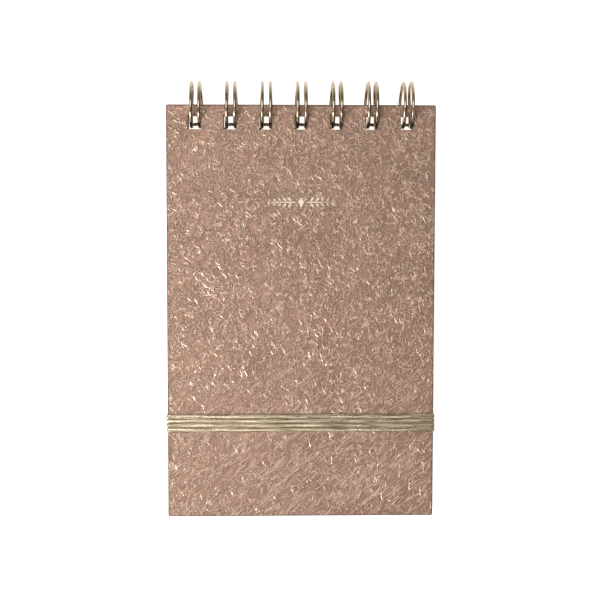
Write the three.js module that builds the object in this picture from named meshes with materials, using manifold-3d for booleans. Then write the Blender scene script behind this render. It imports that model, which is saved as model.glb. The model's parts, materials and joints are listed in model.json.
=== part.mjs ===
// A pocket notebook bound along its top edge with a twin-loop wire and held shut by an elastic band.
// Millimetres. X runs across the covers, +Y points to the wire, +Z comes out of the front cover.
// The origin is under the middle of the notebook: the lowest point of the wire loops is at Z 0.
import * as THREE from "three";
import { mergeVertices } from "three/addons/utils/BufferGeometryUtils.js";
import Module from "manifold-3d";

const wasm = await Module();
wasm.setup();

// ---- Driving dimensions ----

const COVER_WIDTH = 96.5;
const COVER_HEIGHT = 149;
const COVER_CORNER = 0.6; // radius of a cover's corners in plan
const BOOK_THICKNESS = 10; // closed, over both covers

// Twin-loop wire, two loops to the inch
const LOOPS = 7;
const PITCH = 12.7;
const WIRE = 1.2; // diameter
const RING_RADIUS = 8; // to the wire's centre line
const EDGE_BELOW_AXIS = 0.35; // from the loops' axis down to the covers' top edge
const STRAND_HALF_FRONT = 1.45; // half of a loop's strand spacing over the front cover
const STRAND_HALF_BACK = 1.9; // and where the loop comes round to its root
const ROOT_BEND = 1; // bend between a strand and a root bar
const WIRE_SHIFT = 0.25; // the whole wire lies this far to one side of the holes' middles
const SEAM_CLEARANCE = 0.2; // between the root bars and the back cover
const TIP_HEIGHT = -4.1; // the loops' round tips, from the axis
const ROOT_REACH = 8.5; // from the axis down to the root bars, which the closed loops lie flat to

// Punched holes
const HOLE_WIDTH = 4.9;
const HOLE_HEIGHT = 5.2;
const HOLE_BELOW_EDGE = 3.6; // from the covers' top edge to the holes

// One cover, from its outer face to its inner face
const WRAP = 0.25; // textured paper
const BOARD = 1.45; // grey board
const LINING = 0.12; // paper pasted inside
const TURN_IN = 12; // width of the wrap's strip that is folded round to the inside
const LINING_BORDER = 3; // the strip of wrap left showing around the lining
const LAYER_GAP = 0.05;

// Leaves, in bundles from the back of the notebook to its front
const REAR_BUNDLES = 5;
const MIDDLE_BUNDLES = 1;
const FRONT_BUNDLES = 5;
const LEAF_INSET = 2; // from the covers' sides and bottom edge
const LEAF_TOP_INSET = 1; // from the covers' top edge

// Elastic band of four cords, joined side by side in a clip behind the back cover
const CORDS = 4;
const CORD_PITCH = 1.6;
const CORD_WIDTH = 1.55;
const CORD_THICKNESS = 0.55;
const CORD_ROUNDING = 0.2;
const CORD_CORNER = 0.15; // inner radius where a cord turns round a cover's edge
const BAND_BELOW_EDGE = 114.7; // from the covers' top edge to the band's middle
const CLIP_LENGTH = 9;
const CLIP_WALL = 0.2;

// ---- Places worked out from them ----

const RING_OUTER = RING_RADIUS + WIRE / 2;
const LENGTH = COVER_HEIGHT + EDGE_BELOW_AXIS + RING_OUTER;
const AXIS_Y = LENGTH / 2 - RING_OUTER;
const AXIS_Z = RING_OUTER;
const TOP_EDGE = AXIS_Y - EDGE_BELOW_AXIS;
const BOTTOM_EDGE = TOP_EDGE - COVER_HEIGHT;
const BACK_FACE = AXIS_Z - BOOK_THICKNESS / 2;
const FRONT_FACE = AXIS_Z + BOOK_THICKNESS / 2;
const SHELL = WRAP + LAYER_GAP + BOARD + LAYER_GAP + WRAP; // a wrap, with its board inside
const COVER = SHELL + LAYER_GAP + LINING;
const HOLE_Y = TOP_EDGE - HOLE_BELOW_EDGE - HOLE_HEIGHT / 2;
const BAND_Y = TOP_EDGE - BAND_BELOW_EDGE;
const FIRST_LOOP = (-PITCH * (LOOPS - 1)) / 2;

// ---- Materials ----

const finish = (color, roughness, metalness) =>
  new THREE.MeshStandardMaterial({ color, roughness, metalness });

const WRAP_FINISH = [0xb19181, 0.5, 0.45];
const BOARD_FINISH = [0x8f8a82, 0.95, 0];
const LINING_FINISH = [0xece6dc, 0.9, 0];
const LEAF_FINISH = [0xf6f1e4, 0.9, 0];
const WIRE_FINISH = [0xc0a684, 0.3, 1];
const CORD_FINISH = [0xd3c3a0, 0.45, 0.5];
const CLIP_FINISH = [0xc9ab78, 0.35, 1];

// ---- Solids ----

function solid(geometry) {
  const plain = geometry.clone().deleteAttribute("normal").deleteAttribute("uv");
  const merged = mergeVertices(plain, 1e-4);
  return new wasm.Manifold(
    new wasm.Mesh({
      numProp: 3,
      vertProperties: new Float32Array(merged.attributes.position.array),
      triVerts: new Uint32Array(merged.index.array),
    }),
  );
}

function named(name, shape, look) {
  const data = shape.getMesh();
  const geometry = new THREE.BufferGeometry();
  geometry.setAttribute("position", new THREE.BufferAttribute(data.vertProperties, 3));
  geometry.setIndex(new THREE.BufferAttribute(data.triVerts, 1));
  geometry.computeVertexNormals();
  const mesh = new THREE.Mesh(geometry, finish(...look));
  mesh.name = name;
  return mesh;
}

// A box between two corners
function block(low, high, rows = 1) {
  const size = high.map((value, i) => value - low[i]);
  const middle = high.map((value, i) => (value + low[i]) / 2);
  return solid(new THREE.BoxGeometry(...size, 1, rows, 1).translate(...middle));
}

// A rectangle with its corners rounded, between two corners in its own plane
function roundedRectangle(low, high, radius) {
  const shape = new THREE.Shape();
  shape.absarc(high[0] - radius, high[1] - radius, radius, 0, Math.PI / 2);
  shape.absarc(low[0] + radius, high[1] - radius, radius, Math.PI / 2, Math.PI);
  shape.absarc(low[0] + radius, low[1] + radius, radius, Math.PI, Math.PI * 1.5);
  shape.absarc(high[0] - radius, low[1] + radius, radius, Math.PI * 1.5, Math.PI * 2);
  shape.closePath();
  return shape;
}

// A plate with rounded corners, between two corners
function roundedPlate(low, high, radius) {
  const plan = roundedRectangle(low.slice(0, 2), high.slice(0, 2), radius);
  const depth = high[2] - low[2];
  const plate = new THREE.ExtrudeGeometry(plan, { depth, bevelEnabled: false, curveSegments: 2 });
  return solid(plate.translate(0, 0, low[2]));
}

// The seven punched holes, as cutters through everything between two heights
function holeCutters(low, high) {
  const cutters = Array.from({ length: LOOPS }, (_, i) => {
    const x = FIRST_LOOP + i * PITCH;
    return block(
      [x - HOLE_WIDTH / 2, HOLE_Y - HOLE_HEIGHT / 2, low],
      [x + HOLE_WIDTH / 2, HOLE_Y + HOLE_HEIGHT / 2, high],
    );
  });
  return cutters.reduce((all, cutter) => all.add(cutter));
}

function punchedSheet(inset, topInset, low, high) {
  const half = COVER_WIDTH / 2 - inset;
  const sheet = block([-half, BOTTOM_EDGE + inset, low], [half, TOP_EDGE - topInset, high]);
  return sheet.subtract(holeCutters(low - 1, high + 1));
}

// ---- Covers ----

// One cover. outer is the height of its outer face, and inward is +1 or -1, the way to the leaves.
function cover(side, outer, inward) {
  const level = (depth) => outer + inward * depth;
  const span = (from, to) => [level(from), level(to)].sort((a, b) => a - b);
  const half = COVER_WIDTH / 2;

  // The wrap is a sheet folded round the board. Its outer face has three rows, so that the middle
  // one is a plain rectangle, clear of the holes and the band.
  const [low, high] = span(0, SHELL);
  const [boardLow, boardHigh] = span(WRAP + LAYER_GAP, WRAP + LAYER_GAP + BOARD);
  const [windowLow, windowHigh] = span(SHELL - WRAP - LAYER_GAP / 2, SHELL + 1);
  // A plate set in from the cover's four edges by the same amount
  const inside = (inset, from, to, radius) =>
    roundedPlate(
      [-half + inset, BOTTOM_EDGE + inset, from],
      [half - inset, TOP_EDGE - inset, to],
      radius,
    );
  const outline = inside(0, low - 1, high + 1, COVER_CORNER);
  const pocket = inside(WRAP, boardLow - LAYER_GAP, boardHigh + LAYER_GAP, COVER_CORNER - WRAP);
  const window = inside(TURN_IN, windowLow, windowHigh, LAYER_GAP);
  const holes = holeCutters(low - 1, high + 1);
  const wrap = block([-half, BOTTOM_EDGE, low], [half, TOP_EDGE, high], 3)
    .intersect(outline)
    .subtract(pocket)
    .subtract(window)
    .subtract(holes);
  const edge = WRAP + LAYER_GAP;
  const board = inside(edge, boardLow, boardHigh, COVER_CORNER - edge).subtract(holes);

  const lining = span(SHELL + LAYER_GAP, COVER);
  return [
    named(`${side}_wrap`, wrap, WRAP_FINISH),
    named(`${side}_board`, board, BOARD_FINISH),
    named(`${side}_lining`, punchedSheet(LINING_BORDER, LINING_BORDER / 2, ...lining), LINING_FINISH),
  ];
}

// ---- Leaves ----

function leaves() {
  const counts = { rear: REAR_BUNDLES, middle: MIDDLE_BUNDLES, front: FRONT_BUNDLES };
  const names = Object.entries(counts).flatMap(([place, count]) =>
    Array.from({ length: count }, (_, i) => `${place}_leaves_${i + 1}`),
  );
  const low = BACK_FACE + COVER;
  const step = (BOOK_THICKNESS - 2 * COVER) / names.length;
  return names.map((name, i) => {
    const bottom = low + i * step + LAYER_GAP / 2;
    const bundle = punchedSheet(LEAF_INSET, LEAF_TOP_INSET, bottom, bottom + step - LAYER_GAP);
    return named(name, bundle, LEAF_FINISH);
  });
}

// ---- Wire ----

// The wire's centre line is drawn flat, as [angle round the axis, place along it], and then wound
// on the ring. The angle is 0 towards the covers and grows over the front of the notebook.
const TIP_ANGLE = Math.asin(TIP_HEIGHT / RING_RADIUS);
const ROOT_DEPTH = BOOK_THICKNESS / 2 + SEAM_CLEARANCE + WIRE / 2;
const ROOT_ANGLE = 2 * Math.PI - Math.atan2(ROOT_DEPTH, ROOT_REACH);
const ROOT_RADIUS = Math.hypot(ROOT_DEPTH, ROOT_REACH);
const FLATTENING_ANGLE = 1.6 * Math.PI; // from here to the root the loops leave the round
const RING_STEP = Math.PI / 8;
const TIP_STEPS = 5;
const BEND_STEPS = 3;
const WIRE_SIDES = 6;

// Half of the strand spacing: the two strands part as they come round under the back cover
function strandHalf(angle) {
  const share = THREE.MathUtils.smoothstep(angle, Math.PI * 1.2, FLATTENING_ANGLE);
  return THREE.MathUtils.lerp(STRAND_HALF_FRONT, STRAND_HALF_BACK, share);
}

function ringRadius(angle) {
  const share = THREE.MathUtils.smoothstep(angle, FLATTENING_ANGLE, ROOT_ANGLE);
  return THREE.MathUtils.lerp(RING_RADIUS, ROOT_RADIUS, share);
}

function wirePoints() {
  const flat = [];
  const bend = ROOT_BEND / ROOT_RADIUS;
  const tipCentre = TIP_ANGLE + STRAND_HALF_FRONT / RING_RADIUS;
  const angles = [tipCentre];
  for (let angle = 0; angle < ROOT_ANGLE - bend - RING_STEP / 4; angle += RING_STEP) angles.push(angle);
  angles.push(ROOT_ANGLE - bend);
  const strand = (x, side) => angles.map((angle) => [angle, x + side * strandHalf(angle)]);
  // A quarter bend from the end of a strand to the root bar on one side of it
  const rootBend = (x, side) =>
    Array.from({ length: BEND_STEPS }, (_, i) => {
      const turn = (((i + 1) / BEND_STEPS) * Math.PI) / 2;
      const along = ROOT_BEND * (1 - Math.cos(turn));
      return [ROOT_ANGLE - bend * (1 - Math.sin(turn)), x + side * (STRAND_HALF_BACK + along)];
    });
  for (let loop = 0; loop < LOOPS; loop++) {
    const x = FIRST_LOOP + loop * PITCH + WIRE_SHIFT;
    if (loop > 0) flat.push(...rootBend(x, -1).reverse());
    flat.push(...strand(x, -1).reverse());
    for (let i = 1; i < TIP_STEPS; i++) {
      const turn = (i / TIP_STEPS) * Math.PI;
      flat.push([
        tipCentre - (STRAND_HALF_FRONT / RING_RADIUS) * Math.sin(turn),
        x - STRAND_HALF_FRONT * Math.cos(turn),
      ]);
    }
    flat.push(...strand(x, 1));
    if (loop < LOOPS - 1) flat.push(...rootBend(x, 1));
  }
  return flat.map(
    ([angle, x]) =>
      new THREE.Vector3(
        x,
        AXIS_Y - ringRadius(angle) * Math.cos(angle),
        AXIS_Z + ringRadius(angle) * Math.sin(angle),
      ),
  );
}

// A path whose steps fall on its own points, so that the tube has a ring of vertices at each
class PointPath extends THREE.Curve {
  constructor(points) {
    super();
    this.points = points;
  }
  getPoint(t, target = new THREE.Vector3()) {
    const place = THREE.MathUtils.clamp(t, 0, 1) * (this.points.length - 1);
    const i = Math.min(Math.floor(place), this.points.length - 2);
    return target.copy(this.points[i]).lerp(this.points[i + 1], place - i);
  }
  getPointAt(u, target) {
    return this.getPoint(u, target);
  }
  getTangentAt(u, target) {
    return this.getTangent(u, target);
  }
}

function twinLoopWire() {
  const points = wirePoints();
  const section = new THREE.Shape();
  section.absarc(0, 0, WIRE / 2, 0, Math.PI * 2);
  const tube = new THREE.ExtrudeGeometry(section, {
    steps: points.length - 1,
    extrudePath: new PointPath(points),
    curveSegments: WIRE_SIDES / 2,
  });
  return named("twin_loop_wire", solid(tube), WIRE_FINISH);
}

// ---- Elastic band ----

const CLIP_GAP = LAYER_GAP + CLIP_WALL + LAYER_GAP; // between the back cover and the cords
const CORD_BOTTOM = BACK_FACE - CLIP_GAP - CORD_THICKNESS;

// A cord is a closed loop round the notebook, drawn in the XZ plane and given its width along Y
function cordLoop(y) {
  const half = COVER_WIDTH / 2 + LAYER_GAP + CORD_ROUNDING;
  const low = BACK_FACE - CLIP_GAP - CORD_ROUNDING;
  const high = FRONT_FACE + LAYER_GAP + CORD_ROUNDING;
  const core = CORD_THICKNESS - 2 * CORD_ROUNDING;
  const inner = CORD_CORNER + CORD_ROUNDING;
  const outline = roundedRectangle([-half - core, low - core], [half + core, high + core], inner + core);
  outline.holes.push(roundedRectangle([-half, low], [half, high], inner));
  return solid(
    new THREE.ExtrudeGeometry(outline, {
      depth: CORD_WIDTH - 2 * CORD_ROUNDING,
      bevelThickness: CORD_ROUNDING,
      bevelSize: CORD_ROUNDING,
      bevelSegments: 1,
      curveSegments: 2,
    })
      .rotateX(Math.PI / 2)
      .translate(0, y + CORD_WIDTH / 2 - CORD_ROUNDING, 0),
  );
}

function elasticBand() {
  const first = BAND_Y + (CORD_PITCH * (CORDS - 1)) / 2;
  const cords = Array.from({ length: CORDS }, (_, i) =>
    named(`elastic_cord_${i + 1}`, cordLoop(first - i * CORD_PITCH), CORD_FINISH),
  );
  const halfBand = (CORD_PITCH * (CORDS - 1) + CORD_WIDTH) / 2 + LAYER_GAP;
  const low = CORD_BOTTOM - LAYER_GAP;
  const high = BACK_FACE - LAYER_GAP - CLIP_WALL;
  const sleeve = block(
    [-CLIP_LENGTH / 2, BAND_Y - halfBand - CLIP_WALL, low - CLIP_WALL],
    [CLIP_LENGTH / 2, BAND_Y + halfBand + CLIP_WALL, high + CLIP_WALL],
  );
  const inside = block(
    [-CLIP_LENGTH, BAND_Y - halfBand, low],
    [CLIP_LENGTH, BAND_Y + halfBand, high],
  );
  return [...cords, named("band_clip", sleeve.subtract(inside), CLIP_FINISH)];
}

// ---- The notebook ----

const notebook = new THREE.Group();
notebook.add(
  ...cover("back", BACK_FACE, 1),
  ...leaves(),
  ...cover("front", FRONT_FACE, -1),
  twinLoopWire(),
  ...elasticBand(),
);

export default notebook;
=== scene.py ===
"""The looks of a pocket notebook: two wrapped covers on twin-loop wire, held shut by an elastic band.

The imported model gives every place. A length that is not read from it is a setting below.
"""

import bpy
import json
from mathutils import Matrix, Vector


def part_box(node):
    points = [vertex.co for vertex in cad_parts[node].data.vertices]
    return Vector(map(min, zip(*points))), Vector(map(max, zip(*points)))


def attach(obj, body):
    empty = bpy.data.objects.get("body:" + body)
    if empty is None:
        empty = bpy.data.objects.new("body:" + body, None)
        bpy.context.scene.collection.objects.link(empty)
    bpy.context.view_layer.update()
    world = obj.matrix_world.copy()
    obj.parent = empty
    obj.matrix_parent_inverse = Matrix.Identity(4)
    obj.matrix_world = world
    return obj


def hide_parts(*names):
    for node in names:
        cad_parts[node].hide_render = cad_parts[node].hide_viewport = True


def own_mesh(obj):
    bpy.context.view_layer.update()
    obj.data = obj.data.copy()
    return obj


bl_info = {
    "name": "Pocket notebook",
    "version": (1, 0, 0),
    "blender": (4, 5, 0),
    "location": "View3D > Sidebar > Notebook",
    "description": "Builds the papers, wire, elastic and stage of a top-bound pocket notebook",
    "category": "Object",
}

import json
import math

import bmesh
import bpy
from mathutils import Vector

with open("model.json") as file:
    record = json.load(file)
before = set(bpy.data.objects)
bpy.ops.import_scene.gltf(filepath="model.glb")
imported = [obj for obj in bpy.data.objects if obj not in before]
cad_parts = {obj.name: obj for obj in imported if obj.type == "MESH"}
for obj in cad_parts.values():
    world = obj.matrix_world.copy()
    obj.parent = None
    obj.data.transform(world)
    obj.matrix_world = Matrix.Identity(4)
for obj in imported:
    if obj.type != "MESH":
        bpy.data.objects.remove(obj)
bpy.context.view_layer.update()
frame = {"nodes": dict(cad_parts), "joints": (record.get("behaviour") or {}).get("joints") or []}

MM = 0.001
CENTIMETRE = 0.01
SAME = 1e-7  # two heights closer than this are one
TOP, BOTTOM = 1, -1  # the way a cover's outer face looks

FRONT_LOW, FRONT_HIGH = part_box("front_wrap")
BACK_LOW, BACK_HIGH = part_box("back_wrap")
CLIP_LOW, CLIP_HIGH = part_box("band_clip")
CORD_BOXES = [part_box(f"elastic_cord_{i}") for i in range(1, 5)]
BUNDLES = {
    "book_back": [f"rear_leaves_{i}" for i in range(1, 6)],
    "middle_leaves": ["middle_leaves_1"],
    "front_leaves": [f"front_leaves_{i}" for i in range(1, 6)],
}
HOLES = 7
THREAD_ALONG = "thread_along"  # the length along a cord, noted on its mesh
HINGE = Vector(frame["joints"][0]["pos_m"])


# ---- Settings ----


def length(name, description, millimetres, **more):
    return bpy.props.FloatProperty(
        name=name,
        description=description,
        default=millimetres * MM,
        subtype="DISTANCE",
        unit="LENGTH",
        precision=6,
        **more,
    )


def share(name, description, value):
    return bpy.props.FloatProperty(
        name=name, description=description, default=value, subtype="FACTOR", min=0, max=1
    )


def angle(name, description, degrees):
    return bpy.props.FloatProperty(
        name=name, description=description, default=math.radians(degrees), subtype="ANGLE"
    )


def number(name, description, value):
    return bpy.props.IntProperty(name=name, description=description, default=value, min=0)


def colour(name, description, value):
    return bpy.props.FloatVectorProperty(
        name=name, description=description, default=value, subtype="COLOR", size=3, min=0, max=1
    )


def amount(name, description, value):
    return bpy.props.FloatProperty(name=name, description=description, default=value, min=0)


class CoverSettings(bpy.types.PropertyGroup):
    sheet: length("Paper", "Thickness of the wrapping paper", 0.25)
    edge: length("Edge radius", "How round the paper runs over the board's edges", 0.4)
    corner: length("Corner radius", "Radius of the cover's corners seen from above", 0.6)
    turn_in: length("Turn-in", "How far the paper is folded over on the inside", 12)
    hole_width: length("Hole width", "Width of a punched hole", 4.9)
    hole_height: length("Hole height", "Height of a punched hole", 5.2)
    hole_drop: length("Hole drop", "From the cover's top edge to a hole", 3.6)
    hole_corner: length("Hole corner", "Radius of a punched hole's corners", 0.35)
    pitch: length("Pitch", "From one hole to the next", 12.7)


class FibreSettings(bpy.types.PropertyGroup):
    density: amount("Density", "Raised fibres on each square centimetre", 24)
    shortest: length("Shortest", "Length of the shortest fibre", 1.4)
    longest: length("Longest", "Length of the longest fibre", 9)
    width: length("Width", "Width of a fibre at its middle", 0.28)
    height: length("Height", "How far a fibre stands out of the paper", 0.08)
    curl: length("Curl", "How far a fibre wanders from a straight line", 2.6)
    crinkle: length("Crinkle", "Size of a fibre's small kinks", 1.0)
    slant: angle("Slant", "Direction of the combed fibres, from the bottom edge", 38)
    slant_from: length("Combed from", "Height on the cover where combing starts", 5)
    slant_to: length("Combed to", "Height on the cover where most fibres are combed", -60)
    segments: number("Segments", "Straight pieces in a fibre", 7)
    seed: number("Seed", "Seed of the scatter", 4)


class LeafSettings(bpy.types.PropertyGroup):
    sheets: number("Sheets", "Sheets in each bundle of the model", 5)
    thickness: length("Sheet", "Thickness of a sheet", 0.088)
    shift: length("Shift", "How far a sheet may lie off its neighbours", 0.14)
    turn: angle("Turn", "How far a sheet may be turned", 0.04)
    corner: length("Corner radius", "Radius of a sheet's corners", 1.2)
    line: length("Ruling", "From one ruled line to the next", 7)
    seed: number("Seed", "Seed of the shifts", 11)


class WireSettings(bpy.types.PropertyGroup):
    wire: length("Wire", "Thickness of the wire", 1.2)
    ring: length("Ring radius", "Radius of the wire's centre line", 8)
    tip_height: length("Tip height", "Height of the loop tips from the ring's axis", -4.1)
    front_half: length("Front half", "Half the gap between strands at the tip", 1.45)
    back_half: length("Back half", "Half the gap between strands at the root", 1.9)
    root_bend: length("Root bend", "Radius of the bend from strand to root bar", 1)
    root_reach: length("Root reach", "From the ring's axis down to the root bars", 8.5)
    shift: length("Shift", "How far the wire lies to one side of the holes' middles", 0.25)
    seam: length("Seam", "Gap between the root bars and the back cover", 0.2)
    sides: number("Sides", "Faces round the wire", 14)


class ElasticSettings(bpy.types.PropertyGroup):
    width: length("Width", "Width of a cord", 1.56)
    thickness: length("Thickness", "Thickness of a cord", 0.55)
    squareness: amount("Squareness", "2 is a round section, and more is squarer", 2.1)
    turn: length("Turn", "Radius of a cord's middle line where it turns round a cover's edge", 0.69)
    step: length("Step", "From one ring of vertices to the next", 1)
    drift: length("Drift", "How far a cord wanders from side to side", 0.05)
    twist: length("Twist", "From one wrapping thread to the next", 0.6)
    open_share: share("Open share", "Height left once the cover is turned away", 0.796)


class ClipSettings(bpy.types.PropertyGroup):
    wall: length("Wall", "Thickness of the sleeve", 0.2)
    corner: length("Corner radius", "Radius along the sleeve's edges", 0.35)
    step: length("Step", "From one row of vertices to the next", 0.25)
    dent: length("Dent", "Depth of a crimp dent", 0.13)
    dent_radius: length("Dent radius", "Radius of a crimp dent", 0.8)


class OrnamentSettings(bpy.types.PropertyGroup):
    width: length("Width", "Width of the foil ornament", 25)
    height: length("Height", "Height of the foil ornament", 4.5)
    drop: length("Drop", "From the cover's top edge to the ornament's middle", 34.7)
    stroke: length("Stroke", "Width of the widest stroke", 0.5)
    foil: length("Foil", "How far the foil stands out of the paper", 0.03)


class ColourSettings(bpy.types.PropertyGroup):
    paper: colour("Paper", "Rose-copper wrapping paper", (0.44, 0.262, 0.188))
    paper_deep: colour("Paper in the shade", "Darker patches of the paper", (0.37, 0.215, 0.152))
    # A painted highlight: the lighter colour given to the embossed threads and the raised fibres
    fibre: colour("Fibre", "Raised fibres in the paper", (0.83, 0.59, 0.45))
    # Painted shade on the dark side of each embossed thread
    hollow: colour("Hollow", "Dark side of the embossed threads", (0.17, 0.1, 0.065))
    # Painted shade along the cover's rounded edges, where the paper turns over the board
    fold: colour("Fold", "Paper creased over the board's edges", (0.09, 0.05, 0.035))
    board: colour("Board", "Grey board inside the covers", (0.25, 0.23, 0.2))
    lining: colour("Lining", "Paper pasted inside the covers", (0.72, 0.66, 0.58))
    leaf: colour("Leaf", "Writing paper", (0.86, 0.84, 0.78))
    fleck: colour("Flecks", "Pale flecks in the grey board", (0.5, 0.48, 0.44))
    # Painted shade on the leaves' edges in the punched holes
    punched: colour("Hole walls", "Edges of the leaves in the punched holes", (0.1, 0.065, 0.045))
    ruling: colour("Ruling", "Ruled lines", (0.52, 0.5, 0.47))
    wire: colour("Wire", "Champagne-plated binding wire", (0.52, 0.42, 0.3))
    # The elastic colour is the threads' colour brightened into a painted highlight; the groove colour is
    # painted shade
    elastic: colour("Elastic", "Threads of the elastic cords", (0.92, 0.77, 0.55))
    elastic_deep: colour("Elastic groove", "Between the threads", (0.26, 0.2, 0.115))
    clip: colour("Clip", "Pressed metal clip", (0.7, 0.55, 0.38))
    foil: colour("Foil", "Stamped foil", (0.9, 0.78, 0.62))
    floor: colour("Floor", "Pale floor", (0.8, 0.8, 0.8))


class StageSettings(bpy.types.PropertyGroup):
    key: amount("Key light", "Power of the large soft light overhead", 3.3)
    raking: amount("Raking light", "Power of the low light that shows up the fibres", 1.5)
    top: amount("Top light", "Power of the low light beyond the wire", 0.5)
    sky: amount("Sky", "Strength of the light from all round", 0.38)
    glow: amount("Floor glow", "Light that the floor gives off, as a light table does", 0.85)
    lens: bpy.props.FloatProperty(
        name="Lens", description="Focal length", default=78, subtype="DISTANCE_CAMERA"
    )
    camera_place: bpy.props.FloatVectorProperty(
        name="Camera place",
        description="Above the middle of the cover, a little towards the wire",
        default=(-0.01398, 0.0352, 0.48102),
        subtype="XYZ",
        unit="LENGTH",
    )
    camera_turn: bpy.props.FloatVectorProperty(
        name="Camera turn",
        description="The camera's small turns away from looking straight down",
        default=[math.radians(turn) for turn in (-4.289, -1.663, 0.082)],
        subtype="EULER",
        unit="ROTATION",
    )


# ---- Nodes ----

Socket = bpy.types.NodeSocket


def feed(socket, value):
    """Gives an input a value, or links another node's output to it."""
    if isinstance(value, Socket):
        socket.id_data.links.new(value, socket)
    else:
        socket.default_value = value


def node(tree, kind, **given):
    """Adds a node. A name with a capital letter is an input's, and any other is a setting's."""
    made = tree.nodes.new(kind)
    for name, value in given.items():
        if not name[0].isupper():
            setattr(made, name, value)
    for name, value in given.items():
        if name[0].isupper():
            label = name.replace("_", " ")
            feed(next(s for s in made.inputs if s.name == label and s.enabled), value)
    return made


def outlet(made):
    return next(socket for socket in made.outputs if socket.enabled)


def maths(operation, *values, kind="ShaderNodeMath"):
    tree = next(value.id_data for value in values if isinstance(value, Socket))
    made = node(tree, kind, operation=operation)
    for socket, value in zip(made.inputs, values):
        feed(socket, value)
    return made.outputs[0]


def plus(first, second):
    return maths("ADD", first, second)


def minus(first, second):
    return maths("SUBTRACT", first, second)


def times(first, second):
    return maths("MULTIPLY", first, second)


def away(value, middle):
    """How far a value lies from a middle, on either side."""
    return maths("ABSOLUTE", minus(value, middle))


def ramp(value, low, high, start=0.0, end=1.0):
    """Smoothly from start to end as the value goes from low to high."""
    limits = {"From_Min": low, "From_Max": high, "To_Min": start, "To_Max": end}
    kind = "ShaderNodeMapRange"
    return outlet(node(value.id_data, kind, interpolation_type="SMOOTHSTEP", Value=value, **limits))


def split(vector):
    return node(vector.id_data, "ShaderNodeSeparateXYZ", Vector=vector).outputs


def join(x=0.0, y=0.0, z=0.0):
    tree = next(value.id_data for value in (x, y, z) if isinstance(value, Socket))
    return node(tree, "ShaderNodeCombineXYZ", X=x, Y=y, Z=z).outputs[0]


def mix(factor, first, second):
    """A colour between two others, each a node's output or three numbers."""
    first, second = (v if isinstance(v, Socket) else (*v, 1) for v in (first, second))
    return outlet(node(factor.id_data, "ShaderNodeMix", data_type="RGBA", Factor=factor, A=first, B=second))


def mapped(place, **moves):
    return node(place.id_data, "ShaderNodeMapping", Vector=place, **moves).outputs[0]


def noise(place, size, **more):
    """Noise with features of the given size in metres."""
    return node(place.id_data, "ShaderNodeTexNoise", Vector=place, Scale=1 / size, **more).outputs[0]


# ---- Materials ----


def material(name, **constants):
    """A new material, its shader and its place on the object. Constants go on the shader's sockets."""
    made = bpy.data.materials.new(name)
    made.use_nodes = True
    tree = made.node_tree
    shader = next(n for n in tree.nodes if n.type == "BSDF_PRINCIPLED")
    for label, value in constants.items():
        shader.inputs[label.replace("_", " ")].default_value = value
    return made, shader, tree.nodes.new("ShaderNodeTexCoord").outputs["Object"]


def dress(shader, base, height, depth, strength=1.0, roughness=None):
    """Gives the shader its colour and bump, and a roughness that varies."""
    bump = node(shader.id_data, "ShaderNodeBump", Height=height, Distance=depth, Strength=strength)
    feed(shader.inputs["Base Color"], base)
    feed(shader.inputs["Normal"], bump.outputs[0])
    if roughness is not None:
        feed(shader.inputs["Roughness"], roughness)


def shaded(tint, light):
    """A colour made darker or lighter."""
    return tuple(min(light * c, 1) for c in tint)


# Layers of embossed threads: the size of their curls in millimetres, and how thin the lines are
CURLY_THREADS = ((3.2, 0.05), (2.4, 0.06), (1.7, 0.07))
COMBED_THREADS = ((2.2, 0.06), (1.6, 0.07))
THREAD_SHADE_SIDE = (-0.2 * MM, 0.24 * MM, 0)  # from a thread to its painted shade beside it


def threads(place, size, thin, patch, sparse=0.46):
    """Thin winding lines, broken into stretches."""
    winding = noise(place, size, Detail=2.5, Roughness=0.55, Distortion=0.9)
    line = ramp(away(winding, 0.5), 0.0, thin, 1.0, 0.0)
    stretch = noise(place, patch, Detail=1.0)
    return times(line, ramp(stretch, sparse, sparse + 0.08))


def embossed_lines(place, low_part, slant):
    """Curly threads everywhere, and straighter ones to a slant on the lower part."""
    curly = combed = 0.0
    for i, (size, thin) in enumerate(CURLY_THREADS):
        moved = mapped(place, Location=(0.31 * i, -0.17 * i, 0))
        curly = maths("MAXIMUM", threads(moved, size * MM, thin, 3.5 * MM), curly)
    turned = mapped(place, Rotation=(0, 0, -slant))
    for i, (size, thin) in enumerate(COMBED_THREADS):
        moved = mapped(turned, Scale=(0.22, 1, 1), Location=(0.13 * i, 0.07 * i, 0))
        combed = maths("MAXIMUM", threads(moved, size * MM, thin, 2.2 * MM, 0.53), combed)
    less = minus(1.0, times(low_part, 0.3))
    return maths("MAXIMUM", times(combed, low_part), times(curly, less))


def edge_shade_mask(place):
    """1 where painted shade darkens the paper over the board's edges, and 0 on the faces."""
    x, y, _ = split(place)
    middle = (FRONT_LOW + FRONT_HIGH) / 2
    half = (FRONT_HIGH - FRONT_LOW) / 2
    beside = minus(half.x, away(x, middle.x))
    below = minus(half.y, away(y, middle.y))
    return ramp(maths("MINIMUM", beside, below), 0.15 * MM, 0.6 * MM, 1.0, 0.0)


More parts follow.
